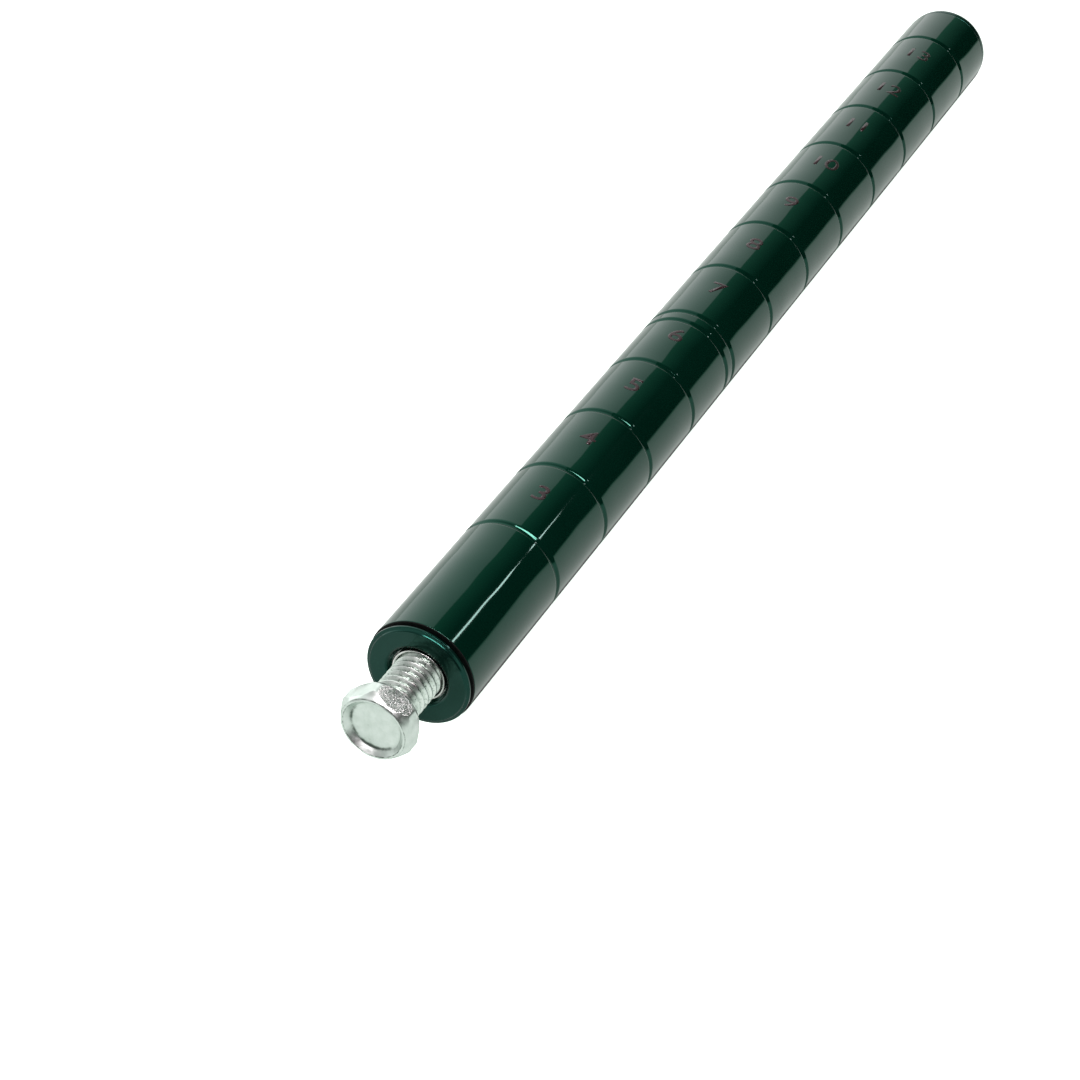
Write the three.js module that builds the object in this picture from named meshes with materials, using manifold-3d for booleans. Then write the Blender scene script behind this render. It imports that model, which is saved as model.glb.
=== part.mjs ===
// A wire-shelving post: a grooved 1 inch steel tube with a screw levelling foot in its lower end and a
// push-in cap in its upper end. The post lies along +X, foot towards -X, on the plane Z = 0. Millimetres.
//
// Stations are distances along the post from the rim of the levelling foot, as it stands at rest.

import * as THREE from 'three';
import { mergeVertices } from 'three/addons/utils/BufferGeometryUtils.js';
import Module from 'manifold-3d';

const wasm = await Module();
wasm.setup();

// ---- driving dimensions ----
const inch = 25.4;
const fitGap = 0.3;
const roundSegments = 32;

// levelling bolt, 7/16-14 UNC
const threadMajorRadius = (7 / 16) * inch / 2;
const threadPitch = inch / 14;
const threadDepth = 0.54 * threadPitch;
const threadLength = 1.5 * inch;
const threadSegments = 24;
const threadTipChamfer = 1.2;
const threadTipRadius = threadMajorRadius - threadDepth - 0.2;
const headAcrossFlats = (5 / 8) * inch;
const headHeight = 6.55;
const headRimRadius = 7.6;
const headRoundDrop = 0.7;
const headRoundRadius = 8.0;
const headCornerDrop = 2.4;
const headSegments = 48;
const headOverlap = 1;
const trimClearance = 0.1;
const dishRadius = 7.0;
const dishWallRadius = 6.35;
const dishWallDepth = 1.1;
const dishFloorRadius = 5.5;
const dishDepth = 1.5;
const footExposedThread = 13.1;

// plug in the lower end
const plugFlangeRadius = 12.4;
const plugFlangeThickness = 1.0;
const plugRimRound = 0.7;
const plugLength = 30;
const plugFrontWall = 2.2;
const plugBoreRadius = 6.6;
const plugCountersinkRadius = 7.6;
const plugCountersinkDepth = 0.9;
const plugEndChamfer = 1;

// threaded insert held in the plug
const insertBoreRadius = threadMajorRadius + 0.2;
const insertBoreChamfer = 0.2;
const insertNoseRadius = 6.3;
const insertNoseRecess = 0.5;
const insertBodyRadius = 8.0;
const insertLength = 22;
const insertWaistRadius = 7.3;
const insertWaistWidth = 4;
const insertEndChamfer = 0.5;

// tube
const tubeRadius = inch / 2;
const tubeWall = 1.2;
const tubeEndRound = 0.35;
const tubeToFlangeGap = 1.1;
const tubeLength = 339.25;
const firstGrooveFromTubeEnd = 40.7;
const groovePitch = inch;
const grooveCount = 12;
const grooveWidth = 2.1;
const grooveFloorWidth = 0.8;
const grooveDepth = 0.5;
const doubleGrooveIndex = 4;
const doubleGrooveSpacing = 4.4;

// cap in the upper end
const capRimRadius = 12.5;
const capRimThickness = 1.4;
const capHeight = 4.7;
const capFlatRadius = 4;
const capSkirtLength = 12;
const capWall = 1.6;
const capRimChamfer = 0.3;
const capSkirtChamfer = 0.8;

// ---- stations that follow from them ----
const bearingFace = headHeight;
const plugFace = bearingFace + footExposedThread;
const flangeBack = plugFace + plugFlangeThickness;
const tubeStart = flangeBack + tubeToFlangeGap;
const tubeEnd = tubeStart + tubeLength;
const capUnderside = tubeEnd + fitGap;
const overallLength = capUnderside + capHeight;
const tubeBoreRadius = tubeRadius - tubeWall;
const plugBodyRadius = tubeBoreRadius - fitGap;
const halfFacet = Math.PI / roundSegments;

// ---- helpers ----

// A body turned about the post's axis. Profile points are [station, radius]; a flat of the outline faces down.
function turned(profile, segments = roundSegments) {
  const points = profile.map(([station, radius]) => new THREE.Vector2(radius, station));
  const geometry = new THREE.LatheGeometry(points, segments, Math.PI / segments);
  geometry.rotateZ(-Math.PI / 2);
  return geometry;
}

// Points on a circular arc in the [station, radius] plane, from one angle to another, in degrees.
function arc(station, radius, size, fromDegrees, toDegrees, steps) {
  const points = [];
  for (let i = 0; i <= steps; i++) {
    const angle = THREE.MathUtils.degToRad(fromDegrees + ((toDegrees - fromDegrees) * i) / steps);
    points.push([station + size * Math.cos(angle), radius + size * Math.sin(angle)]);
  }
  return points;
}

// A geometry as a solid that can be cut and joined.
function toSolid(geometry) {
  geometry.deleteAttribute('normal');
  geometry.deleteAttribute('uv');
  const merged = mergeVertices(geometry);
  const corners = merged.index.array;
  const kept = [];
  for (let i = 0; i < corners.length; i += 3) {
    const [a, b, c] = corners.slice(i, i + 3);
    if (a !== b && b !== c && c !== a) kept.push(a, b, c);
  }
  const vertProperties = new Float32Array(merged.attributes.position.array);
  return new wasm.Manifold(new wasm.Mesh({ numProp: 3, vertProperties, triVerts: new Uint32Array(kept) }));
}

function toGeometry(solid) {
  const { vertProperties, triVerts } = solid.getMesh();
  const geometry = new THREE.BufferGeometry();
  geometry.setAttribute('position', new THREE.BufferAttribute(vertProperties, 3));
  geometry.setIndex(new THREE.BufferAttribute(triVerts, 1));
  geometry.computeVertexNormals();
  return geometry;
}

function finish(color, roughness, metalness) {
  return new THREE.MeshStandardMaterial({ color, roughness, metalness });
}

const post = new THREE.Group();
post.position.set(-overallLength / 2, 0, tubeRadius * Math.cos(halfFacet));

function add(name, geometry, material) {
  const mesh = new THREE.Mesh(geometry, material);
  mesh.name = name;
  post.add(mesh);
}

// ---- tube ----

// One rolled groove: a shallow trough round the tube.
function groove(station) {
  return [
    [station - grooveWidth / 2, tubeRadius],
    [station - grooveFloorWidth / 2, tubeRadius - grooveDepth],
    [station + grooveFloorWidth / 2, tubeRadius - grooveDepth],
    [station + grooveWidth / 2, tubeRadius],
  ];
}

function tubeGeometry() {
  const outline = [
    [tubeStart, tubeBoreRadius],
    [tubeStart, tubeRadius - tubeEndRound],
    [tubeStart + tubeEndRound, tubeRadius],
  ];
  for (let i = 0; i < grooveCount; i++) {
    const station = tubeStart + firstGrooveFromTubeEnd + i * groovePitch;
    if (i === doubleGrooveIndex) outline.push(...groove(station - doubleGrooveSpacing));
    outline.push(...groove(station));
  }
  outline.push([tubeEnd - tubeEndRound, tubeRadius], [tubeEnd, tubeRadius - tubeEndRound]);
  outline.push([tubeEnd, tubeBoreRadius], [tubeStart, tubeBoreRadius]);
  return turned(outline);
}

// ---- plug and its threaded insert ----
const pocketStation = plugFace + plugFrontWall;
const pocketRadius = insertBodyRadius + fitGap;

function plugGeometry() {
  return turned([
    [plugFace + plugCountersinkDepth, plugBoreRadius],
    [plugFace, plugCountersinkRadius],
    ...arc(plugFace + plugRimRound, plugFlangeRadius - plugRimRound, plugRimRound, 180, 90, 3),
    [flangeBack, plugFlangeRadius],
    [flangeBack, plugBodyRadius],
    [plugFace + plugLength - plugEndChamfer, plugBodyRadius],
    [plugFace + plugLength, plugBodyRadius - plugEndChamfer],
    [plugFace + plugLength, pocketRadius],
    [pocketStation, pocketRadius],
    [pocketStation, plugBoreRadius],
    [plugFace + plugCountersinkDepth, plugBoreRadius],
  ]);
}

function insertGeometry() {
  const nose = plugFace + insertNoseRecess;
  const shoulder = pocketStation + fitGap;
  const back = nose + insertLength;
  const waist = (shoulder + back) / 2;
  return turned([
    [nose + insertBoreChamfer, insertBoreRadius],
    [nose, insertBoreRadius + insertBoreChamfer],
    [nose, insertNoseRadius],
    [shoulder, insertNoseRadius],
    [shoulder, insertBodyRadius],
    [waist - insertWaistWidth / 2, insertBodyRadius],
    [waist - insertWaistWidth / 2, insertWaistRadius],
    [waist + insertWaistWidth / 2, insertWaistRadius],
    [waist + insertWaistWidth / 2, insertBodyRadius],
    [back - insertEndChamfer, insertBodyRadius],
    [back, insertBodyRadius - insertEndChamfer],
    [back, insertBoreRadius],
    [nose + insertBoreChamfer, insertBoreRadius],
  ]);
}

// ---- levelling bolt ----

// The screw thread as one ridge that winds up the shank. Each helix row repeats the same four profile points,
// and the last of them meets the first of the row one turn further on.
function threadRidge(startStation, length) {
  const rootRadius = threadMajorRadius - threadDepth;
  const crest = threadMajorRadius;
  const profile = [
    [0, rootRadius],
    [0.12, rootRadius],
    [0.47, crest],
    [0.65, crest],
  ];
  const turns = Math.ceil(length / threadPitch) + 1;
  const rows = turns * threadSegments;
  const positions = [];
  for (let row = 0; row <= rows; row++) {
    const angle = (row / threadSegments) * 2 * Math.PI;
    for (const [fraction, radius] of profile) {
      const station = startStation + (row / threadSegments + fraction) * threadPitch;
      positions.push(station, radius * Math.cos(angle), radius * Math.sin(angle));
    }
  }
  const size = profile.length;
  const vertex = (row, point) => (point < size ? row * size + point : (row + threadSegments) * size);
  const faces = [];
  const lastRow = rows - threadSegments;
  for (let row = 0; row < lastRow; row++) {
    for (let point = 0; point < size; point++) {
      const [a, b] = [vertex(row, point), vertex(row + 1, point)];
      const [c, d] = [vertex(row + 1, point + 1), vertex(row, point + 1)];
      faces.push(a, b, c, a, c, d);
    }
  }
  // both ends run along the helix for a turn and step back down its profile, and close to a point on the axis
  for (const [firstRow, flip] of [[0, false], [lastRow, true]]) {
    const loop = [];
    for (let row = firstRow; row < firstRow + threadSegments; row++) loop.push(vertex(row, 0));
    for (let point = size; point > 0; point--) loop.push(vertex(firstRow, point));
    const centre = positions.length / 3;
    positions.push(startStation + (firstRow / threadSegments + 0.5) * threadPitch, 0, 0);
    loop.forEach((corner, i) => {
      const next = loop[(i + 1) % loop.length];
      faces.push(...(flip ? [centre, corner, next] : [centre, next, corner]));
    });
  }
  const geometry = new THREE.BufferGeometry();
  geometry.setAttribute('position', new THREE.Float32BufferAttribute(positions, 3));
  geometry.setIndex(faces);
  return geometry;
}

function boltGeometry() {
  const tip = bearingFace + threadLength;
  const thread = toSolid(threadRidge(bearingFace - threadPitch, threadLength + 2 * threadPitch));
  const shankEnvelope = toSolid(turned([
    [bearingFace - headOverlap, 0],
    [bearingFace - headOverlap, threadMajorRadius + headOverlap],
    [tip - threadTipChamfer, threadMajorRadius + trimClearance],
    [tip, threadTipRadius],
    [tip, 0],
  ]));
  const cornerRadius = headAcrossFlats / Math.sqrt(3);
  const hexagon = new THREE.CylinderGeometry(cornerRadius, cornerRadius, headHeight, 6);
  hexagon.rotateZ(-Math.PI / 2);
  hexagon.translate(headHeight / 2, 0, 0);
  const clear = cornerRadius + trimClearance;
  const headEnvelope = toSolid(turned([
    [0, 0],
    [0, headRimRadius],
    [headRoundDrop, headRoundRadius],
    [headCornerDrop, clear],
    [bearingFace - headCornerDrop, clear],
    [bearingFace - headRoundDrop, headRoundRadius],
    [bearingFace, headRimRadius],
    [bearingFace, 0],
  ], headSegments));
  const dish = toSolid(turned([
    [-headOverlap, 0],
    [-headOverlap, dishRadius],
    [0, dishRadius],
    [dishWallDepth, dishWallRadius],
    [dishDepth, dishFloorRadius],
    [dishDepth, 0],
  ], headSegments));
  const head = toSolid(hexagon).intersect(headEnvelope).subtract(dish);
  return toGeometry(thread.intersect(shankEnvelope).add(head));
}

// ---- cap ----

function capGeometry() {
  const skirtRadius = tubeBoreRadius - fitGap;
  const crownHeight = capHeight - capRimThickness;
  const crown = [];
  const crownSteps = 6;
  for (let i = 0; i <= crownSteps; i++) {
    const angle = (i / crownSteps) * Math.PI / 2;
    const radius = capFlatRadius + (capRimRadius - capFlatRadius) * Math.cos(angle);
    crown.push([capUnderside + capRimThickness + crownHeight * Math.sin(angle), radius]);
  }
  return turned([
    [capUnderside, 0],
    [capUnderside, skirtRadius - capWall],
    [tubeEnd - capSkirtLength, skirtRadius - capWall],
    [tubeEnd - capSkirtLength, skirtRadius - capSkirtChamfer],
    [tubeEnd - capSkirtLength + capSkirtChamfer, skirtRadius],
    [capUnderside, skirtRadius],
    [capUnderside, capRimRadius - capRimChamfer],
    [capUnderside + capRimChamfer, capRimRadius],
    ...crown,
    [overallLength, 0],
  ]);
}

// ---- assembly ----
add('post_tube', tubeGeometry(), finish(0x0b3a2a, 0.18, 0.2));
add('foot_plug', plugGeometry(), finish(0x12332b, 0.25, 0));
add('threaded_insert', insertGeometry(), finish(0xb9bdb8, 0.35, 1));
add('leveling_bolt', boltGeometry(), finish(0xd5dad6, 0.3, 1));
add('top_cap', capGeometry(), finish(0x12332b, 0.3, 0));

export default post;
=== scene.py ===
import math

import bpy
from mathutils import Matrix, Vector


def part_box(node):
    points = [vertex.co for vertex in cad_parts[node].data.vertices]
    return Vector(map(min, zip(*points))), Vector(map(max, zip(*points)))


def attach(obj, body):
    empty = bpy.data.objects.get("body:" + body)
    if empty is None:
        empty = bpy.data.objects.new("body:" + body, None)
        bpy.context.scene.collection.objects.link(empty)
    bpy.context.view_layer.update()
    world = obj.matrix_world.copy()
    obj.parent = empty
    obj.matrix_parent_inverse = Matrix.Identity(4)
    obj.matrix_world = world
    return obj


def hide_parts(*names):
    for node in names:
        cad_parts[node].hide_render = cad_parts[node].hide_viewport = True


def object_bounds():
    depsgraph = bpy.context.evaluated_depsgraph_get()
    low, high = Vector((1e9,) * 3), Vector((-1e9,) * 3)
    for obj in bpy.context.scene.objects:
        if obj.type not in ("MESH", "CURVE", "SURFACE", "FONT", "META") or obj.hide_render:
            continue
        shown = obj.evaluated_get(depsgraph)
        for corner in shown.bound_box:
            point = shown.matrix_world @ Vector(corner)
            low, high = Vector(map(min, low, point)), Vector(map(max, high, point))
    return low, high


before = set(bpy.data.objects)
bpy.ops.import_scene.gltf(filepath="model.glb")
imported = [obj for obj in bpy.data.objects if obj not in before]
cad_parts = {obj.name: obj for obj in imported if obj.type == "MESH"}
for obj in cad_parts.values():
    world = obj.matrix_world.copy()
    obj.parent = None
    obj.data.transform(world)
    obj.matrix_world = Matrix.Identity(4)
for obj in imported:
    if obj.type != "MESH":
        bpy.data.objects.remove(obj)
cad_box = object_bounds()

# Looks of a wire-shelving post: a grooved green tube with a screw levelling foot, a plug and a cap.
# The post lies along +X with its foot towards -X. Lengths are written in millimetres times MM.

MM = 0.001
INCH = 25.4 * MM

# ---- places read from the frame ----
TUBE_START, TUBE_END = (corner.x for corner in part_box("post_tube"))
PLUG_FACE, PLUG_END = (corner.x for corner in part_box("foot_plug"))
SLEEVE_FACE, SLEEVE_END = (corner.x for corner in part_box("threaded_insert"))
BOLT_RIM, BOLT_TIP = (corner.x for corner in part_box("leveling_bolt"))
CAP_SKIRT_END, CAP_TOP = (corner.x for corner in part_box("top_cap"))
AXIS_HEIGHT = (cad_box[0].z + cad_box[1].z) / 2

# ---- tube ----
TUBE_RADIUS = INCH / 2
TUBE_WALL = 1.2 * MM
TUBE_BORE_RADIUS = TUBE_RADIUS - TUBE_WALL
TUBE_END_ROUND = 0.3 * MM
CUT_EDGE_DEPTH = 0.2 * MM
FIT_GAP = 0.3 * MM
FIRST_GROOVE = TUBE_START + 40.7 * MM
GROOVE_COUNT = 12
GROOVE_WIDTH = 2.1 * MM
GROOVE_DEPTH = 0.5 * MM
GROOVE_STEPS = 12
SUPPORT_GAP = 0.12 * MM
PAIRED_GROOVE = 4
PAIRED_GROOVE_SPACING = 4.4 * MM

# ---- plug and its threaded sleeve ----
PLUG_FLANGE_RADIUS = 12.4 * MM
PLUG_FLANGE_BACK = PLUG_FACE + 1.0 * MM
PLUG_FLANGE_ROUND = 0.2 * MM
PLUG_FLANGE_BEVEL = 0.1 * MM
PLUG_FACE_RADIUS = 11.45 * MM
PLUG_BODY_RADIUS = TUBE_BORE_RADIUS - FIT_GAP
PLUG_END_BEVEL = 1 * MM
PLUG_BORE_RADIUS = 6.6 * MM
PLUG_COUNTERSINK_RADIUS = 7.6 * MM
PLUG_COUNTERSINK_DEPTH = 0.9 * MM
PLUG_MOUTH_ROUND = 0.9 * MM
PLUG_POCKET_START = PLUG_FACE + 2.2 * MM
PLUG_POCKET_RADIUS = 8.3 * MM
SLEEVE_NOSE_RADIUS = 6.3 * MM
SLEEVE_NOSE_ROUND = 0.1 * MM
SLEEVE_BODY_RADIUS = 8.0 * MM
SLEEVE_WAIST_RADIUS = 7.3 * MM
SLEEVE_WAIST_WIDTH = 4 * MM
SLEEVE_END_BEVEL = 0.5 * MM

# ---- levelling bolt, 7/16-14 with a 5/8 inch hexagon ----
THREAD_RADIUS = 7 / 16 * INCH / 2
THREAD_PITCH = INCH / 14
THREAD_DEPTH = 0.54 * THREAD_PITCH
THREAD_ROOT_RADIUS = THREAD_RADIUS - THREAD_DEPTH
THREAD_STEPS = 72
THREAD_EDGE = 0.08 * MM
TIP_BEVEL = 1.2 * MM
SHANK_OVERLAP = 1 * MM
HEAD_HEIGHT = 6.55 * MM
HEAD_ACROSS_FLATS = 5 / 8 * INCH
HEAD_CORNER_RADIUS = HEAD_ACROSS_FLATS / math.sqrt(3)
HEAD_CORNER_ROUND = 0.9 * MM
HEAD_RIM_RADIUS = 7.6 * MM
DISH_RADIUS = 7.0 * MM
DISH_DEPTH = 1.5 * MM
DISH_LIP = 0.1 * MM
DISH_WALL_RUN = 1.55 * MM
DISH_CORNER_ROUND = 0.9 * MM
DISH_FLOOR_RISE = 0.04 * MM
PATCH_HALF_WIDTH = 4.1 * MM
PATCH_HALF_HEIGHT = 2.75 * MM
FORGED_TURN = math.radians(30)
FORGED_FACING = 0.96
FORGED_SIDE = Vector((0, -math.sin(FORGED_TURN), math.cos(FORGED_TURN)))
BEARING_FACE = BOLT_RIM + HEAD_HEIGHT
SLEEVE_BORE_RADIUS = THREAD_RADIUS + 0.2 * MM

# ---- cap ----
CAP_RIM_RADIUS = 12.5 * MM
CAP_RIM_THICKNESS = 1.4 * MM
CAP_FLAT_RADIUS = 4 * MM
CAP_SKIRT_RADIUS = TUBE_BORE_RADIUS - FIT_GAP
CAP_SKIRT_BEVEL = 0.8 * MM
CAP_WALL = 1.6 * MM
CAP_EDGE_ROUND = 0.3 * MM
CAP_CROWN_STEPS = 14

# ---- height numbers ----
FIRST_NUMBER = 3
NUMBER_HEIGHT = 5.6 * MM
NUMBER_TURN = math.radians(7.6)
NUMBER_ABOVE_GROOVE = 13.9 * MM
NUMBER_STRETCH = 1.15
NUMBER_BOLDNESS = 0.06 * MM
NUMBER_STRIP = 0.4 * MM
NUMBER_LIFT = 0.5 * MM
FIGURE_SHARE_OF_FONT = 0.73
INK_GAP = 0.012 * MM
INK_THICKNESS = 0.02 * MM

# ---- studio: sizes and places in metres, and how bright each light looks ----
FOOT_END = Vector((cad_box[0].x, 0, AXIS_HEIGHT))
FLOOR_SIZE = 12
FLOOR_DROP = 0.07 * MM
FLOOR_GLOW = 0.62
FLOOR_SEEN_GLOW = 1.1
FLOOR_COLOR = (0.88, 1.0, 0.92, 1)
SHADED_HALF_WIDTH = 10.8 * MM
LIT_HALF_WIDTH = 12.4 * MM
WALL_LEAN = math.radians(4.35)
WALL_TOP_RADIANCE = 0.95
WALL_BASE_RADIANCE = 1.9
WALL_GLOW = 0.36
LOW_LEAN = math.radians(2.4)
LOW_RADIANCE = 1.1
CEILING_RADIANCE = 0.008
FRONT_SHARE = 0.28
WHITE = (1, 1, 1, 1)
LOW_COLOR = (0.85, 1.0, 0.9, 1)
GLOW_COLOR = (0.35, 1.0, 0.72, 1)
STRIP_ALONG = 0.948
STRIP_TURN = math.radians(40.85)
STRIP_SIZE = (0.36, 0.06)
STRIP_RADIANCE = 20
STRIP_COLOR = (1.0, 0.72, 0.82)
KEY_OFFSET = Vector((-0.362, -0.25, 1.0))
KEY_TURNS = (math.radians(14), math.radians(-20), 0)
KEY_SIZE = (0.16, 0.86)
KEY_RADIANCE = 32
KEY_COLOR = (1.0, 0.86, 0.92)
CAMERA_OFFSET = Vector((-367.1, -217.3, 352.5)) * MM
CAMERA_DIRECTION = Vector((0.7313, 0.3559, -0.5818))
CAMERA_LENS = 88.69
CAMERA_SENSOR = 36


# ================= working on meshes =================


def clear_selection():
    """Leaves edit mode and selects nothing."""
    if bpy.context.mode != "OBJECT":
        bpy.ops.object.mode_set(mode="OBJECT")
    bpy.ops.object.select_all(action="DESELECT")


def take(piece):
    """Makes one object the only selected one, in object mode."""
    clear_selection()
    piece.select_set(True)
    bpy.context.view_layer.objects.active = piece


def settle_place(piece):
    """Moves the object's place, turn and scale into its mesh."""
    take(piece)
    bpy.ops.object.transform_apply(location=True, rotation=True, scale=True)


def added(name):
    """The object that the last operator added, under its own name."""
    piece = bpy.context.active_object
    piece.name = name
    piece.data.name = name
    return piece


def apply_modifier(piece, kind, **settings):
    """Adds a modifier with those settings and applies it at once."""
    take(piece)
    modifier = piece.modifiers.new(kind.title(), kind)
    for key, value in settings.items():
        setattr(modifier, key, value)
    bpy.ops.object.modifier_apply(modifier=modifier.name)


def combine(piece, other, operation):
    """Cuts or joins a piece with another one, which is used up."""
    apply_modifier(piece, "BOOLEAN", object=other, operation=operation, solver="EXACT")
    bpy.data.objects.remove(other)


def tidy_shell(piece, sharp_degrees=30):
    """Merges doubles, turns the faces outwards and shades what isn't a sharp edge smooth."""
    take(piece)
    bpy.ops.object.mode_set(mode="EDIT")
    bpy.ops.mesh.select_all(action="SELECT")
    bpy.ops.mesh.remove_doubles(threshold=0.002 * MM)
    bpy.ops.mesh.normals_make_consistent(inside=False)
    bpy.ops.object.mode_set(mode="OBJECT")
    bpy.ops.object.shade_smooth_by_angle(angle=math.radians(sharp_degrees))
    return piece


def turned(name, outline, segments=128, sharp_degrees=30):
    """Walks a ring along (station, radius) points: each step extrudes the ring and resizes it.

    A radius of 0 closes the ring to a pole. An outline that ends where it starts makes a hollow body.
    """
    clear_selection()
    start, radius = outline[0]
    from_pole = radius == 0
    if from_pole:
        start, radius = outline[1]
    centre = (start, 0, AXIS_HEIGHT)
    across_axis = (0, math.pi / 2, 0)
    bpy.ops.mesh.primitive_circle_add(
        vertices=segments, radius=radius, location=centre, rotation=across_axis
    )
    piece = added(name)
    settle_place(piece)
    bpy.ops.object.mode_set(mode="EDIT")
    bpy.ops.mesh.select_all(action="SELECT")
    if from_pole:
        close_ring_to_pole()
        select_ring(piece, start)
    station, size = start, radius
    for next_station, next_radius in outline[(2 if from_pole else 1):]:
        if next_radius == 0:
            close_ring_to_pole()
            break
        bpy.ops.mesh.extrude_region_move(
            TRANSFORM_OT_translate={"value": (next_station - station, 0, 0)}
        )
        growth = next_radius / size
        centre = (next_station, 0, AXIS_HEIGHT)
        bpy.ops.transform.resize(value=(1, growth, growth), center_override=centre)
        station, size = next_station, next_radius
    return tidy_shell(piece, sharp_degrees)


def close_ring_to_pole():
    """Fills the selected ring with a fan whose middle is on the axis."""
    bpy.ops.mesh.extrude_region_move(TRANSFORM_OT_translate={"value": (0, 0, 0)})
    bpy.ops.mesh.merge(type="CENTER")


def select_ring(piece, station):
    """Selects the outer ring of a fan: every vertex at that station but the pole."""
    bpy.ops.mesh.select_all(action="DESELECT")
    bpy.ops.object.mode_set(mode="OBJECT")
    for vertex in piece.data.vertices:
        off_axis = math.hypot(vertex.co.y, vertex.co.z - AXIS_HEIGHT) > 0.01 * MM
        vertex.select = off_axis and abs(vertex.co.x - station) < 0.001 * MM
    bpy.ops.object.mode_set(mode="EDIT")
    bpy.ops.mesh.select_mode(type="VERT")


def arc(station, radius, size, from_degrees, to_degrees, steps=8):
    """Points of a round edge in the (station, radius) plane."""
    points = []
    for step in range(steps + 1):
        angle = math.radians(from_degrees + (to_degrees - from_degrees) * step / steps)
        points.append((station + size * math.cos(angle), radius + size * math.sin(angle)))
    return points


def finish_piece(piece, body, replaced, slot, *materials):
    """Gives a piece its materials and ties it to the frame."""
    for material in materials:
        piece.data.materials.append(material)
    for node in replaced:
        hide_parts(node)
    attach(piece, body)
    return piece


# ================= materials =================

# The range that cloudy noise mostly keeps to.
CLOUD_LOW = 0.3
CLOUD_HIGH = 0.7


class Graph:
    """A node tree that is being put together, with the coordinates that its patterns follow."""

    def __init__(self, tree, coordinates):
        self.nodes = tree.nodes
        self.links = tree.links
        self.place = self.nodes.new("ShaderNodeTexCoord").outputs[coordinates]

    def feed(self, socket, value):
        """Gives a socket a number, a colour or another node's output."""
        if isinstance(value, (int, float, tuple)):
            socket.default_value = value
        else:
            self.links.new(value, socket)

    def calculate(self, operation, *values):
        node = self.nodes.new("ShaderNodeMath")
        node.operation = operation
        for socket, value in zip(node.inputs, values):
            self.feed(socket, value)
        return node.outputs["Value"]

    def map(self, value, start, end, low=0.0, high=1.0, kind="SMOOTHSTEP"):
        """Maps the range from start to end onto the one from low to high, and holds it there outside."""
        node = self.nodes.new("ShaderNodeMapRange")
        node.interpolation_type = kind
        self.feed(node.inputs["Value"], value)
        for socket, setting in (("From Min", start), ("From Max", end), ("To Min", low), ("To Max", high)):
            self.feed(node.inputs[socket], setting)
        return node.outputs["Result"]

    def mix(self, share, first, second, kind):
        """Blends two numbers, with kind FLOAT, or two colours, with kind RGBA."""
        node = self.nodes.new("ShaderNodeMix")
        node.data_type = kind
        for socket, value in (("Factor", share), ("A", first), ("B", second)):
            self.feed(node.inputs[socket], value)
        return node.outputs["Result"]

    def coordinate(self, axis):
        split = self.nodes.new("ShaderNodeSeparateXYZ")
        self.links.new(self.place, split.inputs["Vector"])
        return split.outputs[axis]

    def seen_by_camera(self):
        """1 where the camera looks straight at it, 0 for light and reflections."""
        return self.nodes.new("ShaderNodeLightPath").outputs["Is Camera Ray"]


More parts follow.
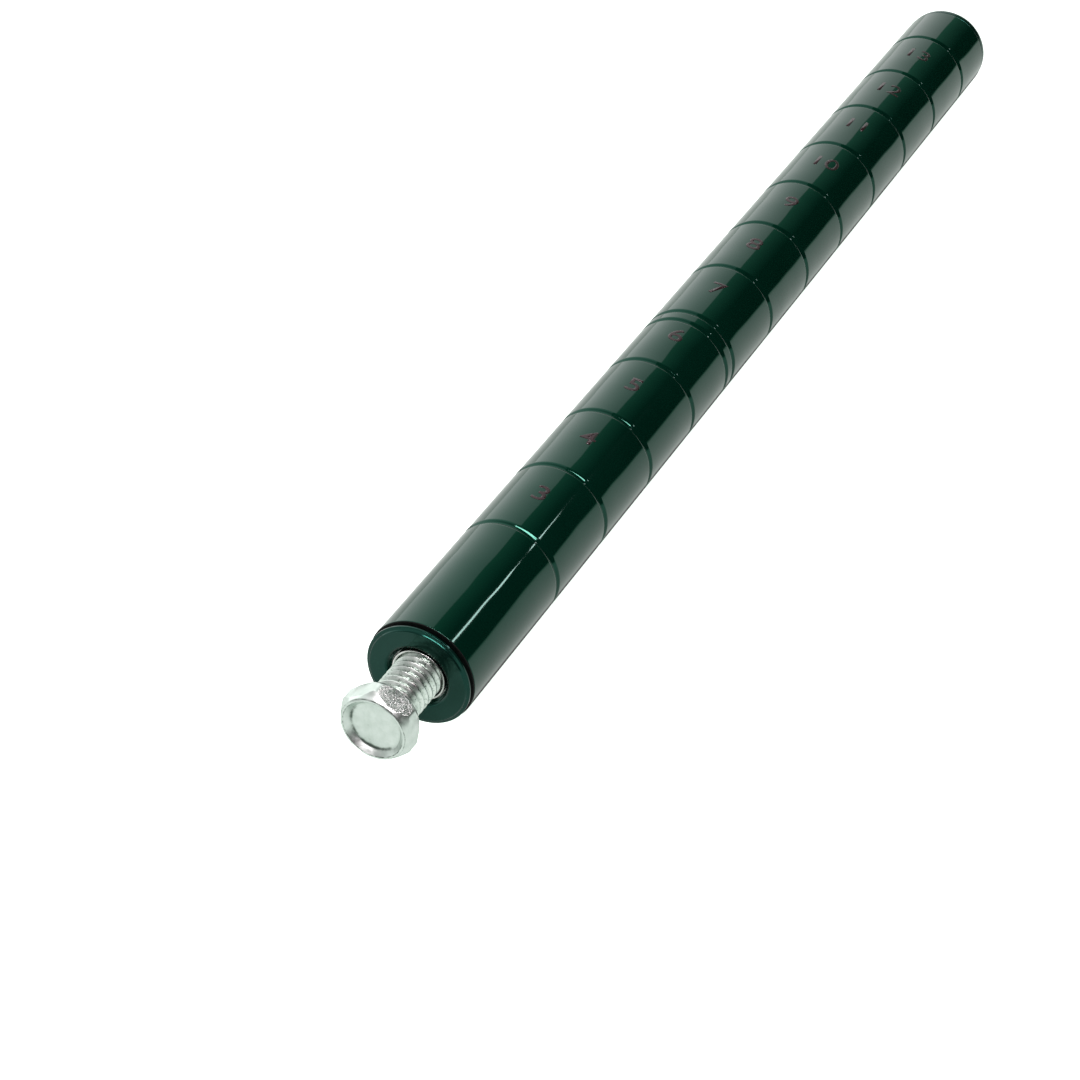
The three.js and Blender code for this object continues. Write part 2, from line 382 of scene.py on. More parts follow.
class Finish(Graph):
    """A material that is being put together."""

    def __init__(self, name):
        self.material = bpy.data.materials.new(name)
        self.material.use_nodes = True
        super().__init__(self.material.node_tree, "Object")
        self.shader = self.nodes["Principled BSDF"]
        self.height = None

    def set(self, **values):
        for socket, value in values.items():
            self.shader.inputs[socket.replace("_", " ")].default_value = value

    def paint(self, socket, value):
        self.links.new(value, self.shader.inputs[socket])

    def noise(self, scale, detail=2.0, roughness=0.5, stretch=None):
        """Cloudy noise, with scale in waves per metre, that may be stretched along an axis."""
        place = self.place
        if stretch:
            mapping = self.nodes.new("ShaderNodeMapping")
            mapping.inputs["Scale"].default_value = stretch
            self.links.new(place, mapping.inputs["Vector"])
            place = mapping.outputs["Vector"]
        node = self.nodes.new("ShaderNodeTexNoise")
        node.inputs["Scale"].default_value = scale
        node.inputs["Detail"].default_value = detail
        node.inputs["Roughness"].default_value = roughness
        self.links.new(place, node.inputs["Vector"])
        return node.outputs["Fac"]

    def ramp(self, value, *stops):
        """Turns a value into a colour, with stops of (position, (r, g, b))."""
        node = self.nodes.new("ShaderNodeValToRGB")
        while len(node.color_ramp.elements) < len(stops):
            node.color_ramp.elements.new(0.5)
        for element, (position, color) in zip(node.color_ramp.elements, stops):
            element.position = position
            element.color = (*color, 1)
        self.links.new(value, node.inputs["Fac"])
        return node.outputs["Color"]

    def mottle(self, cloud, first, second):
        """Paints the surface in two colours that cloudy noise shifts between."""
        self.paint("Base Color", self.ramp(cloud, (CLOUD_LOW, first), (CLOUD_HIGH, second)))

    def polish(self, cloud, smooth, rough):
        """Lets cloudy noise shift the surface between two roughnesses."""
        self.paint("Roughness", self.map(cloud, CLOUD_LOW, CLOUD_HIGH, smooth, rough, "LINEAR"))

    def bump(self, value, depth):
        """Adds a relief of that depth, in metres, to the surface."""
        node = self.nodes.new("ShaderNodeBump")
        node.inputs["Strength"].default_value = 1.0
        node.inputs["Distance"].default_value = depth
        self.links.new(value, node.inputs["Height"])
        if self.height:
            self.links.new(self.height, node.inputs["Normal"])
        self.height = node.outputs["Normal"]
        self.links.new(self.height, self.shader.inputs["Normal"])

    def below_axis(self):
        """How far under the post's axis, in metres."""
        return self.calculate("SUBTRACT", AXIS_HEIGHT, self.coordinate("Z"))

    def off_axis(self):
        """Distance from the post's axis, in metres."""
        down = self.calculate("POWER", self.calculate("ABSOLUTE", self.below_axis()), 2)
        side = self.calculate("POWER", self.calculate("ABSOLUTE", self.coordinate("Y")), 2)
        return self.calculate("SQRT", self.calculate("ADD", down, side))

    def ring(self, radius, half_width):
        """1 on a circle round the axis, falling to 0 on both sides of it."""
        apart = self.calculate("ABSOLUTE", self.calculate("SUBTRACT", self.off_axis(), radius))
        return self.map(apart, half_width, 0)

    def flat_patch(self):
        """1 in an oval in the middle of each flat of the head, falling to 0 round it."""
        apothem = HEAD_ACROSS_FLATS / 2
        aside = self.calculate("SUBTRACT", self.calculate("POWER", self.off_axis(), 2), apothem**2)
        width_share = self.calculate("DIVIDE", aside, PATCH_HALF_WIDTH**2)
        middle = BOLT_RIM + HEAD_HEIGHT / 2
        along = self.calculate("ABSOLUTE", self.calculate("SUBTRACT", self.coordinate("X"), middle))
        height_share = self.calculate("POWER", self.calculate("DIVIDE", along, PATCH_HALF_HEIGHT), 3)
        return self.map(self.calculate("ADD", width_share, height_share), 1.1, 0.9)


def green_epoxy():
    """Glossy baked epoxy over steel: a deep green with slow waves in its surface."""
    finish = Finish("green_epoxy")
    finish.set(IOR=1.47, Specular_Tint=(0.3, 1.0, 0.74, 1))
    cloud = finish.noise(60, detail=3)
    finish.mottle(cloud, (0.0004, 0.0108, 0.0060), (0.0006, 0.0128, 0.0072))
    finish.polish(finish.noise(35), 0.05, 0.08)
    finish.bump(finish.noise(60, detail=1, stretch=(0.9, 1, 1)), 0.32 * MM)
    return finish.material


def green_plastic():
    """Moulded plastic in the post's green, a little greyer than the epoxy."""
    finish = Finish("green_plastic")
    finish.set(IOR=1.44, Specular_Tint=(0.2, 1.0, 0.78, 1))
    cloud = finish.noise(140, detail=3)
    finish.mottle(cloud, (0.0014, 0.0088, 0.0060), (0.0021, 0.0114, 0.0082))
    finish.polish(finish.noise(90), 0.1, 0.16)
    finish.bump(finish.noise(260, detail=2), 0.004 * MM)
    return finish.material


def cut_edge():
    """The tube's cut end: near-black painted shade, standing in for the shadow in the gap behind the plug's
    flange.
    """
    finish = Finish("cut_edge")
    finish.set(IOR=1.3)
    cloud = finish.noise(900, detail=3)
    finish.mottle(cloud, (0.0005, 0.0012, 0.0010), (0.0012, 0.0030, 0.0022))
    finish.polish(cloud, 0.5, 0.7)
    return finish.material


def zinc(name, dull, pale, smooth, rough, marks=None):
    """Clear zinc plate between two greys, with a roughness range and, if any, dark marks from 0 to 1:
    painted shade in the dish and the thread's roots, specks and forging grain.
    """
    finish = Finish(name)
    finish.set(Metallic=1.0)
    cloud = finish.noise(420, detail=5, roughness=0.6)
    if marks:
        cloud = finish.calculate("SUBTRACT", cloud, marks(finish))
    finish.paint("Base Color", finish.ramp(cloud, (0.0, (0.10, 0.13, 0.11)), (0.32, dull), (0.7, pale)))
    finish.polish(finish.noise(700, detail=3), smooth, rough)
    return finish


def dish_grime(finish):
    """Painted shade: broken dark lines round the dish and the head's rim, and a dark band in the dish's
    corner, thickest low down.
    """
    broken = finish.map(finish.noise(1100, detail=3), 0.35, 0.6, 0.25, 1.0)
    edge = finish.ring(DISH_RADIUS + 0.06 * MM, 0.16 * MM)
    rim = finish.ring(HEAD_RIM_RADIUS, 0.12 * MM)
    lines = finish.calculate("MULTIPLY", finish.calculate("MAXIMUM", edge, rim), 0.5)
    # The corner's painted shade grows lower down and towards +Y.
    low_down = finish.calculate("ADD", finish.below_axis(), finish.coordinate("Y"))
    low_shade_amount = finish.map(low_down, -4 * MM, 6 * MM, 0.12, 0.48)
    corner = finish.calculate("MULTIPLY", finish.ring(DISH_RADIUS - 1.2 * MM, 0.62 * MM), low_shade_amount)
    return finish.calculate("ADD", finish.calculate("MULTIPLY", broken, lines), corner)


def bright_zinc():
    """Plating on the head's turned faces and smooth flats: pale, with a slight green cast and painted shade
    round the dish.
    """
    finish = zinc("bright_zinc", (0.53, 0.61, 0.56), (0.66, 0.73, 0.69), 0.28, 0.42, dish_grime)
    finish.bump(finish.noise(1500, detail=3), 0.008 * MM)
    return finish.material


def root_grime(finish):
    """Painted shade in the thread's roots, clean on its crests, and fine dark specks all over."""
    depth = finish.map(finish.off_axis(), THREAD_RADIUS - 0.2 * MM, THREAD_ROOT_RADIUS + 0.1 * MM, 0, 0.25)
    specks = finish.map(finish.noise(2200, detail=3), 0.55, 0.7, 0, 0.3)
    return finish.calculate("ADD", depth, specks)


def thread_zinc():
    """Plating on the rolled thread, bright on the crests, with painted shade in the roots and fine dark
    specks.
    """
    finish = zinc("thread_zinc", (0.54, 0.63, 0.57), (0.80, 0.87, 0.82), 0.26, 0.42, root_grime)
    finish.bump(finish.noise(900, detail=4, stretch=(6, 1, 1)), 0.012 * MM)
    return finish.material


def forging_specks(finish):
    """Fine dark and pale specks in the middle of a forged flat."""
    specks = finish.map(finish.noise(3000, detail=3), 0.4, 0.6, 0.3, -0.3, "LINEAR")
    return finish.calculate("MULTIPLY", specks, finish.flat_patch())


def forged_zinc():
    """Plating on the forged flats: paler than the other flats, a painted highlight, with fine bright forging
    grains in the middle, smooth round it.
    """
    finish = zinc("forged_zinc", (0.52, 0.57, 0.53), (0.92, 0.97, 0.93), 0.26, 0.42, forging_specks)
    grains = finish.noise(2700, detail=3, roughness=0.7)
    finish.bump(finish.calculate("MULTIPLY", grains, finish.flat_patch()), 0.26 * MM)
    return finish.material


def sleeve_steel():
    """Bright turned steel."""
    finish = Finish("sleeve_steel")
    finish.set(Metallic=1.0)
    cloud = finish.noise(500, detail=4)
    finish.mottle(cloud, (0.50, 0.50, 0.48), (0.74, 0.75, 0.73))
    finish.polish(finish.noise(900, detail=2), 0.2, 0.34)
    finish.bump(finish.noise(2400, detail=2), 0.005 * MM)
    return finish.material


def number_ink():
    """Thin maroon marking ink, worn a little, over the green."""
    finish = Finish("number_ink")
    finish.set(IOR=1.35)
    wear = finish.noise(1400, detail=3)
    maroon = (0.026, 0.009, 0.012)
    worn = (0.016, 0.012, 0.012)
    finish.paint("Base Color", finish.ramp(wear, (0.35, maroon), (0.75, worn)))
    finish.polish(wear, 0.12, 0.24)
    return finish.material


def floor_paint():
    """White sweep, lit from below by its own glow, with the glow left out under the post as a painted
    shadow, and that shows the camera no shadow.
    """
    finish = Finish("floor_paint")
    finish.set(Roughness=0.9, Specular_IOR_Level=0.1, Emission_Color=FLOOR_COLOR)
    finish.mottle(finish.noise(3, detail=2), (0.34, 0.34, 0.34), (0.36, 0.36, 0.36))
    aside = finish.calculate("ABSOLUTE", finish.coordinate("Y"))
    # Painted shadow: the glow is left out in a strip under the post, from just past the tube's start.
    beside_post = finish.map(aside, SHADED_HALF_WIDTH, LIT_HALF_WIDTH)
    before_post = finish.map(finish.coordinate("X"), TUBE_START + 5 * MM, TUBE_START)
    glow = finish.calculate("MULTIPLY", finish.calculate("MAXIMUM", beside_post, before_post), FLOOR_GLOW)
    seen_glow = finish.calculate("MULTIPLY", finish.seen_by_camera(), FLOOR_SEEN_GLOW)
    finish.paint("Emission Strength", finish.calculate("ADD", seen_glow, glow))
    return finish.material


# ================= pieces =================


def groove_stations():
    """Middles of the grooves: one every inch, and one more close beside the fifth."""
    stations = [FIRST_GROOVE + number * INCH for number in range(GROOVE_COUNT)]
    stations.append(stations[PAIRED_GROOVE] - PAIRED_GROOVE_SPACING)
    return sorted(stations)


def groove_outline(station):
    """A rolled groove: a smooth trough between two rings that keep the tube beside it straight."""
    points = [(station - GROOVE_WIDTH / 2 - SUPPORT_GAP, TUBE_RADIUS)]
    for step in range(GROOVE_STEPS + 1):
        across = step / GROOVE_STEPS - 0.5
        depth = GROOVE_DEPTH * (1 + math.cos(2 * math.pi * across)) / 2
        points.append((station + across * GROOVE_WIDTH, TUBE_RADIUS - depth))
    points.append((station + GROOVE_WIDTH / 2 + SUPPORT_GAP, TUBE_RADIUS))
    return points


def make_tube(epoxy, edge):
    """The grooved tube, whose cut face at the foot end has a near-black finish of its own: painted shade for
    the gap behind the plug's flange.
    """
    outline = [(TUBE_START, TUBE_BORE_RADIUS)]
    shoulder = TUBE_RADIUS - TUBE_END_ROUND
    outline += arc(TUBE_START + TUBE_END_ROUND, shoulder, TUBE_END_ROUND, 180, 90)
    outline.append((TUBE_START + TUBE_END_ROUND + SUPPORT_GAP, TUBE_RADIUS))
    for station in groove_stations():
        outline += groove_outline(station)
    outline.append((TUBE_END - TUBE_END_ROUND - SUPPORT_GAP, TUBE_RADIUS))
    outline += arc(TUBE_END - TUBE_END_ROUND, shoulder, TUBE_END_ROUND, 90, 0)
    outline += [(TUBE_END, TUBE_BORE_RADIUS), (TUBE_START, TUBE_BORE_RADIUS)]
    tube = turned("grooved_tube", outline, segments=160)
    finish_piece(tube, "post", ["post_tube"], "green_epoxy", epoxy, edge)
    # The cut face at the foot end takes the second material, near-black painted shade.
    for face in tube.data.polygons:
        face.material_index = int(abs(face.normal.x) > 0.6 and face.center.x < TUBE_START + CUT_EDGE_DEPTH)
    return tube


def plug_shoulder():
    """Bevel and step from the plug's face to its flange, as (depth, radius)."""
    return [
        (0.03 * MM, PLUG_FACE_RADIUS + 0.04 * MM),
        (0.34 * MM, PLUG_FACE_RADIUS + 0.22 * MM),
        (0.38 * MM, PLUG_FACE_RADIUS + 0.34 * MM),
    ]


def make_plug(plastic):
    """Flanged end plug, with a countersunk mouth and a pocket behind it for the sleeve."""
    mouth = (PLUG_FACE + PLUG_MOUTH_ROUND, PLUG_COUNTERSINK_RADIUS + 0.35 * MM)
    rim = (PLUG_FACE + 0.62 * MM, PLUG_FLANGE_RADIUS - PLUG_FLANGE_ROUND)
    outline = [
        (PLUG_FACE + PLUG_COUNTERSINK_DEPTH, PLUG_BORE_RADIUS),
        *arc(*mouth, PLUG_MOUTH_ROUND, 245, 180, 10),
        (PLUG_FACE, PLUG_FACE_RADIUS),
        *[(PLUG_FACE + depth, radius) for depth, radius in plug_shoulder()],
        *arc(*rim, PLUG_FLANGE_ROUND, 158, 90, 6),
        (PLUG_FLANGE_BACK - PLUG_FLANGE_BEVEL, PLUG_FLANGE_RADIUS),
        (PLUG_FLANGE_BACK, PLUG_FLANGE_RADIUS - PLUG_FLANGE_BEVEL),
        (PLUG_FLANGE_BACK, PLUG_BODY_RADIUS),
        (PLUG_END - PLUG_END_BEVEL, PLUG_BODY_RADIUS),
        (PLUG_END, PLUG_BODY_RADIUS - PLUG_END_BEVEL),
        (PLUG_END, PLUG_POCKET_RADIUS),
        (PLUG_POCKET_START, PLUG_POCKET_RADIUS),
        (PLUG_POCKET_START, PLUG_BORE_RADIUS),
        (PLUG_FACE + PLUG_COUNTERSINK_DEPTH, PLUG_BORE_RADIUS),
    ]
    plug = turned("end_plug", outline, segments=144)
    return finish_piece(plug, "post", ["foot_plug"], "green_plastic", plastic)


def make_sleeve(steel):
    """Threaded sleeve in the plug's pocket, with a narrow nose that shows in the plug's mouth."""
    shoulder = PLUG_POCKET_START + FIT_GAP
    middle = (shoulder + SLEEVE_END) / 2
    waist_start = middle - SLEEVE_WAIST_WIDTH / 2
    waist_end = middle + SLEEVE_WAIST_WIDTH / 2
    nose = (SLEEVE_FACE + SLEEVE_NOSE_ROUND, SLEEVE_NOSE_RADIUS - SLEEVE_NOSE_ROUND)
    outline = [
        (SLEEVE_FACE + 0.3 * MM, SLEEVE_BORE_RADIUS),
        (SLEEVE_FACE, SLEEVE_BORE_RADIUS + 0.2 * MM),
        *arc(*nose, SLEEVE_NOSE_ROUND, 180, 90, 3),
        (shoulder, SLEEVE_NOSE_RADIUS),
        (shoulder, SLEEVE_BODY_RADIUS),
        (waist_start, SLEEVE_BODY_RADIUS),
        (waist_start, SLEEVE_WAIST_RADIUS),
        (waist_end, SLEEVE_WAIST_RADIUS),
        (waist_end, SLEEVE_BODY_RADIUS),
        (SLEEVE_END - SLEEVE_END_BEVEL, SLEEVE_BODY_RADIUS),
        (SLEEVE_END, SLEEVE_BODY_RADIUS - SLEEVE_END_BEVEL),
        (SLEEVE_END, SLEEVE_BORE_RADIUS),
        (SLEEVE_FACE + 0.3 * MM, SLEEVE_BORE_RADIUS),
    ]
    sleeve = turned("screw_sleeve", outline, segments=96)
    return finish_piece(sleeve, "post", ["threaded_insert"], "insert_steel", steel)


def head_round():
    """How far in from an end face the forged round of the head reaches each radius."""
    return [
        (0, HEAD_RIM_RADIUS - 0.15 * MM),
        (0.08 * MM, HEAD_RIM_RADIUS),
        (0.35 * MM, HEAD_RIM_RADIUS + 0.2 * MM),
        (0.7 * MM, HEAD_RIM_RADIUS + 0.4 * MM),
        (1.2 * MM, HEAD_RIM_RADIUS + 0.75 * MM),
        (1.8 * MM, HEAD_RIM_RADIUS + 1.2 * MM),
        (2.4 * MM, HEAD_CORNER_RADIUS + 0.1 * MM),
    ]


def dish_outline():
    """Section of the dish: a small lip, a sloping wall, a round corner and a floor that rises a little."""
    outside = BOLT_RIM - 1 * MM
    floor = BOLT_RIM + DISH_DEPTH
    floor_radius = DISH_RADIUS - DISH_WALL_RUN
    return [
        (outside, 0),
        (outside, DISH_RADIUS + 0.3 * MM),
        (BOLT_RIM, DISH_RADIUS + DISH_LIP),
        (BOLT_RIM + DISH_LIP, DISH_RADIUS),
        *arc(floor - DISH_CORNER_ROUND, floor_radius, DISH_CORNER_ROUND, 54, 3, 10),
        (floor, floor_radius - 0.05 * MM),
        (floor - DISH_FLOOR_RISE, 0),
    ]


def make_prism():
    """Hexagonal prism with rounded corners, one of them on top, which the head is turned from."""
    clear_selection()
    middle = (BOLT_RIM + HEAD_HEIGHT / 2, 0, AXIS_HEIGHT)
    along_post = (0, math.pi / 2, 0)
    bpy.ops.mesh.primitive_cylinder_add(
        vertices=6, radius=HEAD_CORNER_RADIUS, depth=HEAD_HEIGHT, location=middle, rotation=along_post
    )
    head = added("foot_screw")
    settle_place(head)
    bpy.ops.object.mode_set(mode="EDIT")
    bpy.ops.mesh.select_all(action="SELECT")
    bpy.ops.transform.rotate(value=math.radians(30), orient_axis="X", center_override=middle)
    bpy.ops.mesh.select_all(action="DESELECT")
    bpy.ops.object.mode_set(mode="OBJECT")
    for edge in head.data.edges:
        ends = [head.data.vertices[index].co for index in edge.vertices]
        edge.select = abs(ends[0].x - ends[1].x) > HEAD_HEIGHT / 2
    bpy.ops.object.mode_set(mode="EDIT")
    bpy.ops.mesh.select_mode(type="EDGE")
    bpy.ops.mesh.bevel(offset=HEAD_CORNER_ROUND, segments=7)
    bpy.ops.object.mode_set(mode="OBJECT")
    return head


def make_head():
    """Hexagon head: the prism, turned down at both ends, with a dished end."""
    head = make_prism()
    envelope = turned("head_envelope", [
        (BOLT_RIM, 0),
        *[(BOLT_RIM + inset, radius) for inset, radius in head_round()],
        *[(BEARING_FACE - inset, radius) for inset, radius in reversed(head_round())],
        (BEARING_FACE, 0),
    ], segments=120)
    combine(head, envelope, "INTERSECT")
    combine(head, turned("dish_cutter", dish_outline(), segments=120), "DIFFERENCE")
    return head


def thread_profile():
    """Half section of one thread: root, flank, crest and flank, as (share of a pitch, radius)."""
    crest_edge = THREAD_RADIUS - THREAD_EDGE
    root_edge = THREAD_ROOT_RADIUS + THREAD_EDGE
    return [
        (0.00, THREAD_ROOT_RADIUS),
        (0.09, THREAD_ROOT_RADIUS),
        (0.14, root_edge),
        (0.44, crest_edge),
        (0.50, THREAD_RADIUS),
        (0.62, THREAD_RADIUS),
        (0.68, crest_edge),
        (0.98, root_edge),
        (1.00, THREAD_ROOT_RADIUS),
    ]


def make_thread_section(start):
    """One thread's half section, as a line of edges at that station above the axis."""
    clear_selection()
    bpy.ops.mesh.primitive_plane_add(size=THREAD_PITCH, location=(start, 0, AXIS_HEIGHT))
    section = added("shank")
    settle_place(section)
    bpy.ops.object.mode_set(mode="EDIT")
    bpy.ops.mesh.select_all(action="SELECT")
    bpy.ops.mesh.merge(type="CENTER")
    bpy.ops.transform.translate(value=(0, 0, THREAD_ROOT_RADIUS))
    profile = thread_profile()
    for (share, radius), (next_share, next_radius) in zip(profile, profile[1:]):
        step = ((next_share - share) * THREAD_PITCH, 0, next_radius - radius)
        bpy.ops.mesh.extrude_vertices_move(TRANSFORM_OT_translate={"value": step})
    bpy.ops.object.mode_set(mode="OBJECT")
    return section


def wind_up_axis(section, turns):
    """Winds a section up the post's axis, one pitch for each turn."""
    axis_mark = bpy.data.objects.new("axis_mark", None)
    axis_mark.location = (0, 0, AXIS_HEIGHT)
    bpy.context.scene.collection.objects.link(axis_mark)
    apply_modifier(
        section, "SCREW", axis="X", object=axis_mark, angle=2 * math.pi, screw_offset=THREAD_PITCH,
        iterations=turns, steps=THREAD_STEPS, render_steps=THREAD_STEPS, use_merge_vertices=False,
    )
    bpy.data.objects.remove(axis_mark)


def trim_square(piece, *cuts):
    """Cuts a piece off and closes it at each (station, outward direction along X)."""
    take(piece)
    bpy.ops.object.mode_set(mode="EDIT")
    bpy.ops.mesh.select_all(action="SELECT")
    bpy.ops.mesh.remove_doubles(threshold=0.005 * MM)
    for station, outward in cuts:
        bpy.ops.mesh.select_all(action="SELECT")
        bpy.ops.mesh.bisect(
            plane_co=(station, 0, AXIS_HEIGHT), plane_no=(outward, 0, 0), use_fill=True, clear_outer=True
        )
    bpy.ops.mesh.select_all(action="SELECT")
    bpy.ops.mesh.normals_make_consistent(inside=False)
    bpy.ops.object.mode_set(mode="OBJECT")


def make_shank():
    """Threaded shank: one thread's section wound up the axis, trimmed square and pointed at the tip."""
    start = BEARING_FACE - 2.5 * THREAD_PITCH
    shank = make_thread_section(start)
    wind_up_axis(shank, turns=math.ceil((BOLT_TIP - start) / THREAD_PITCH) + 1)
    trim_square(shank, (BEARING_FACE - SHANK_OVERLAP, -1), (BOLT_TIP, 1))
    envelope_start = BEARING_FACE - 2 * SHANK_OVERLAP
    point = turned("point_envelope", [
        (envelope_start, 0),
        (envelope_start, THREAD_RADIUS + 1 * MM),
        (BOLT_TIP - TIP_BEVEL, THREAD_RADIUS + 0.1 * MM),
        (BOLT_TIP, THREAD_ROOT_RADIUS - 0.2 * MM),
        (BOLT_TIP, 0),
    ], segments=72)
    combine(shank, point, "INTERSECT")
    return shank


def make_bolt(turned_finish, forged_highlight_finish, thread_finish):
    """Levelling bolt: head and shank in one, plated three ways."""
    bolt = make_head()
    combine(bolt, make_shank(), "UNION")
    tidy_shell(bolt, sharp_degrees=32)
    finishes = (turned_finish, forged_highlight_finish, thread_finish)
    finish_piece(bolt, "leveling_foot", ["leveling_bolt"], "zinc_plate", *finishes)
    for face in bolt.data.polygons:
        off_axis = math.hypot(face.center.y, face.center.z - AXIS_HEIGHT)
        on_shank = face.center.x > BEARING_FACE - 0.01 * MM and off_axis < THREAD_RADIUS + 0.2 * MM
        # The two flats facing FORGED_SIDE take the paler forged plating, a painted highlight.
        on_highlighted_flat = off_axis > HEAD_RIM_RADIUS and abs(face.normal.dot(FORGED_SIDE)) > FORGED_FACING
        face.material_index = 2 if on_shank else int(on_highlighted_flat)
    return bolt


def cap_crown(rim_top):
    """Quarter of an ellipse from the cap's rim up to its flat middle."""
    points = []
    for step in range(CAP_CROWN_STEPS + 1):
        angle = math.radians(90) * step / CAP_CROWN_STEPS
        radius = CAP_FLAT_RADIUS + (CAP_RIM_RADIUS - CAP_FLAT_RADIUS) * math.cos(angle)
        points.append((rim_top + (CAP_TOP - rim_top) * math.sin(angle), radius))
    return points


def make_cap(plastic):
    """Crowned cap with a hollow skirt that fits inside the tube."""
    underside = TUBE_END + FIT_GAP
    edge = (underside + CAP_EDGE_ROUND, CAP_RIM_RADIUS - CAP_EDGE_ROUND)
    outline = [
        (underside, 0),
        (underside, CAP_SKIRT_RADIUS - CAP_WALL),
        (CAP_SKIRT_END, CAP_SKIRT_RADIUS - CAP_WALL),
        (CAP_SKIRT_END, CAP_SKIRT_RADIUS - CAP_SKIRT_BEVEL),
        (CAP_SKIRT_END + CAP_SKIRT_BEVEL, CAP_SKIRT_RADIUS),
        (underside, CAP_SKIRT_RADIUS),
        *arc(*edge, CAP_EDGE_ROUND, 180, 90, 4),
        *cap_crown(underside + CAP_RIM_THICKNESS),
        (CAP_TOP, 0),
    ]
    cap = turned("crowned_cap", outline, segments=144)
    return finish_piece(cap, "post", ["top_cap"], "green_plastic", plastic)


def make_numbers(ink, tube):
    """The height numbers: one between each groove and the next, printed on the tube's upper side."""
    marks = []
    for number in range(FIRST_NUMBER, FIRST_NUMBER + GROOVE_COUNT - 1):
        marks.append(print_number(number, tube))
    take(marks[0])
    for mark in marks[1:]:
        mark.select_set(True)
    bpy.ops.object.join()
    numbers = added("height_numbers")
    return finish_piece(numbers, "post", [], "green_epoxy", ink)


def print_number(number, tube):
    """One printed number: flat figures laid over the tube, pressed onto it and given a skin."""
    mark = flat_figures(number)
    cut_in_strips(mark)
    station = FIRST_GROOVE + (number - FIRST_NUMBER) * INCH + NUMBER_ABOVE_GROOVE
    lift = TUBE_RADIUS + NUMBER_LIFT
    mark.rotation_euler = (0, 0, -math.pi / 2)
    settle_place(mark)
    mark.rotation_euler = (NUMBER_TURN, 0, 0)
    mark.location = (station, -math.sin(NUMBER_TURN) * lift, AXIS_HEIGHT + math.cos(NUMBER_TURN) * lift)
    settle_place(mark)
    apply_modifier(
        mark, "SHRINKWRAP", target=tube, wrap_method="NEAREST_SURFACEPOINT", wrap_mode="ABOVE_SURFACE",
        offset=INK_GAP,
    )
    apply_modifier(mark, "SOLIDIFY", thickness=INK_THICKNESS, offset=1)
    return mark


def flat_figures(number):
    """A number's figures as a flat mesh, centred on the origin."""
    clear_selection()
    bpy.ops.object.text_add(location=(0, 0, 0))
    text = bpy.context.active_object
    text.data.body = str(number)
    text.data.align_x = "CENTER"
    text.data.align_y = "CENTER"
    text.data.size = NUMBER_HEIGHT / FIGURE_SHARE_OF_FONT
    text.data.offset = NUMBER_BOLDNESS
    text.scale.x = NUMBER_STRETCH
    bpy.ops.object.convert(target="MESH")
    mark = added(f"height_number_{number}")
    settle_place(mark)
    return mark


def cut_in_strips(mark):
    """Cuts flat figures across, so that they can bend round the tube."""
    bpy.ops.object.mode_set(mode="EDIT")
    width = max(corner[0] for corner in mark.bound_box) * 2
    strips = max(4, math.ceil(width / NUMBER_STRIP))
    for cut in range(strips + 1):
        bpy.ops.mesh.select_all(action="SELECT")
        bpy.ops.mesh.bisect(plane_co=((cut / strips - 0.5) * width, 0, 0), plane_no=(1, 0, 0))
    bpy.ops.object.mode_set(mode="OBJECT")


# ================= floor, light and camera =================


def make_floor():
    """A white floor just under the post."""
    clear_selection()
    bpy.ops.mesh.primitive_plane_add(size=FLOOR_SIZE, location=(0, 0, cad_box[0].z - FLOOR_DROP))
    floor = added("studio_floor")
    settle_place(floor)
    floor.data.materials.append(floor_paint())


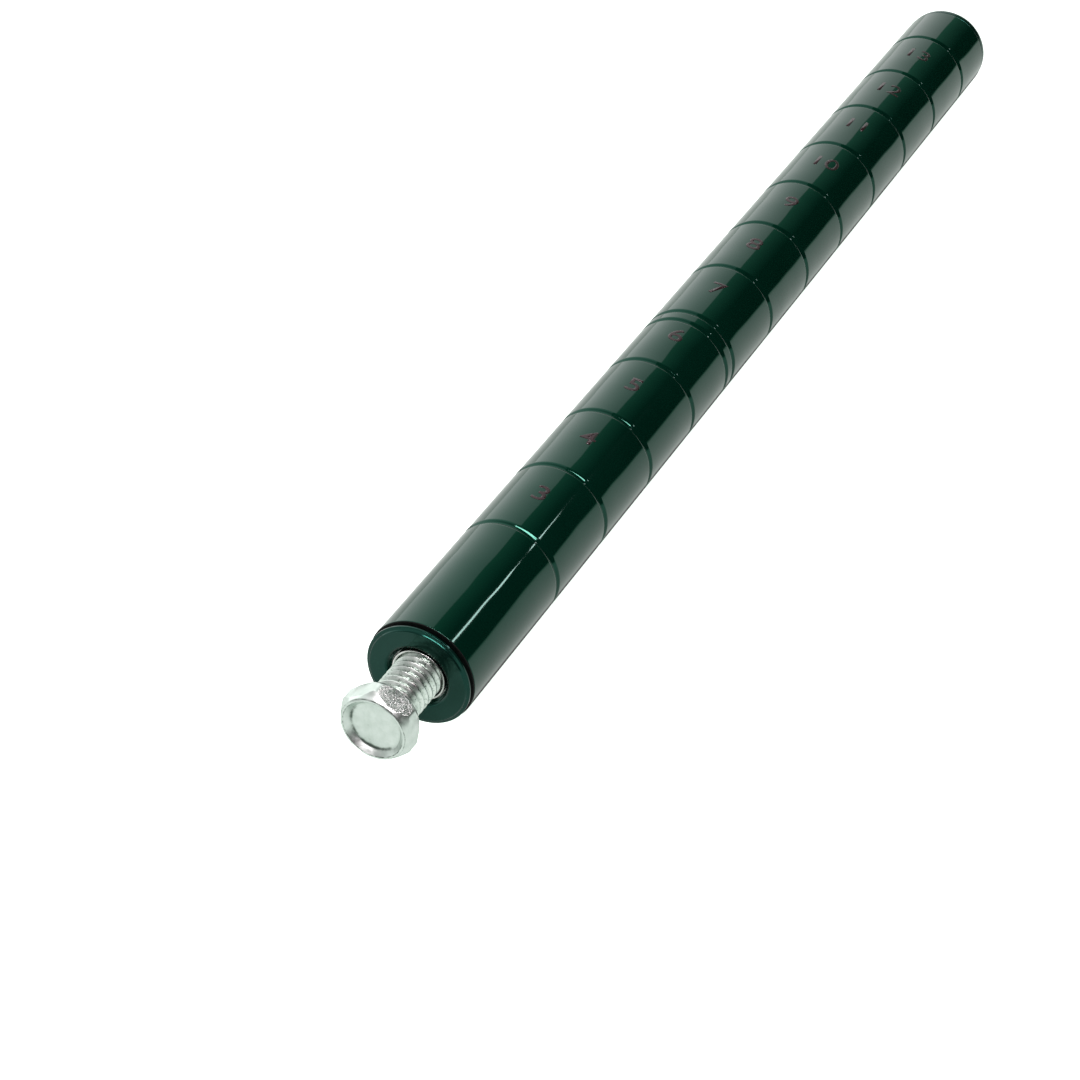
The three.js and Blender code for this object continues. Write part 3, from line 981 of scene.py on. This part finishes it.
def make_world():
    """A studio with a broad white wall on the +Y side, pale low walls, and a dark ceiling on the -Y side."""
    world = bpy.data.worlds.new("studio")
    bpy.context.scene.world = world
    world.use_nodes = True
    sky = Graph(world.node_tree, "Generated")
    across, up = sky.coordinate("Y"), sky.coordinate("Z")
    beside_wall = sky.calculate("SUBTRACT", across, sky.calculate("MULTIPLY", up, math.tan(WALL_LEAN)))
    wall = sky.map(beside_wall, -0.012, 0.012)
    wall_light = sky.map(across, 0.05, 0.95, WALL_TOP_RADIANCE, WALL_BASE_RADIANCE, "LINEAR")
    below_ceiling = sky.calculate("SUBTRACT", sky.calculate("MULTIPLY", across, -math.tan(LOW_LEAN)), up)
    low = sky.map(below_ceiling, -0.02, 0.05, 0, LOW_RADIANCE)
    glow = sky.map(beside_wall, -0.4, -0.02, 0, WALL_GLOW, "LINEAR")
    unlit_side = sky.calculate("MAXIMUM", low, glow)
    sides = sky.calculate("MAXIMUM", sky.calculate("MULTIPLY", wall, wall_light), unlit_side)
    towards_post = sky.map(sky.coordinate("X"), -0.4, 0.0, FRONT_SHARE, 1)
    brightness = sky.calculate("ADD", sky.calculate("MULTIPLY", sides, towards_post), CEILING_RADIANCE)
    seen = sky.seen_by_camera()
    unlit_hue = sky.mix(low, GLOW_COLOR, LOW_COLOR, "RGBA")
    hue = sky.mix(sky.calculate("MAXIMUM", wall, seen), unlit_hue, WHITE, "RGBA")
    background = sky.nodes["Background"]
    sky.feed(background.inputs["Strength"], sky.mix(seen, brightness, 1.0, "FLOAT"))
    sky.feed(background.inputs["Color"], hue)


def area_light(name, shape, sides, place, turns, radiance, color):
    """A soft light, with its brightness as seen from the front."""
    data = bpy.data.lights.new(name, "AREA")
    data.shape = shape
    data.size, data.size_y = sides
    area = data.size * data.size_y * (math.pi / 4 if shape == "ELLIPSE" else 1)
    data.energy = radiance * math.pi * area
    data.color = color
    light = bpy.data.objects.new(name, data)
    light.location = place
    light.rotation_euler = turns
    bpy.context.scene.collection.objects.link(light)


def make_lights():
    """A narrow strip that draws the bright line along the tube, and a long key light over the foot."""
    above_tube = FOOT_END + Vector((STRIP_ALONG, -math.sin(STRIP_TURN), math.cos(STRIP_TURN)))
    strip_turns = (STRIP_TURN, 0, 0)
    area_light("strip_light", "ELLIPSE", STRIP_SIZE, above_tube, strip_turns, STRIP_RADIANCE, STRIP_COLOR)
    overhead = FOOT_END + KEY_OFFSET
    area_light("key_light", "RECTANGLE", KEY_SIZE, overhead, KEY_TURNS, KEY_RADIANCE, KEY_COLOR)


def make_camera():
    """A long lens in front of the foot and above it, looking along the post."""
    data = bpy.data.cameras.new("camera")
    data.sensor_width = CAMERA_SENSOR
    data.lens = CAMERA_LENS
    camera = bpy.data.objects.new("camera", data)
    camera.location = FOOT_END + CAMERA_OFFSET
    camera.rotation_euler = CAMERA_DIRECTION.to_track_quat("-Z", "Y").to_euler()
    bpy.context.scene.collection.objects.link(camera)
    bpy.context.scene.camera = camera


def main():
    epoxy = green_epoxy()
    plastic = green_plastic()
    tube = make_tube(epoxy, cut_edge())
    make_plug(plastic)
    make_sleeve(sleeve_steel())
    make_bolt(bright_zinc(), forged_zinc(), thread_zinc())
    make_cap(plastic)
    make_numbers(number_ink(), tube)
    make_floor()
    make_world()
    make_lights()
    make_camera()
    bpy.context.scene.view_settings.view_transform = "Standard"


main()
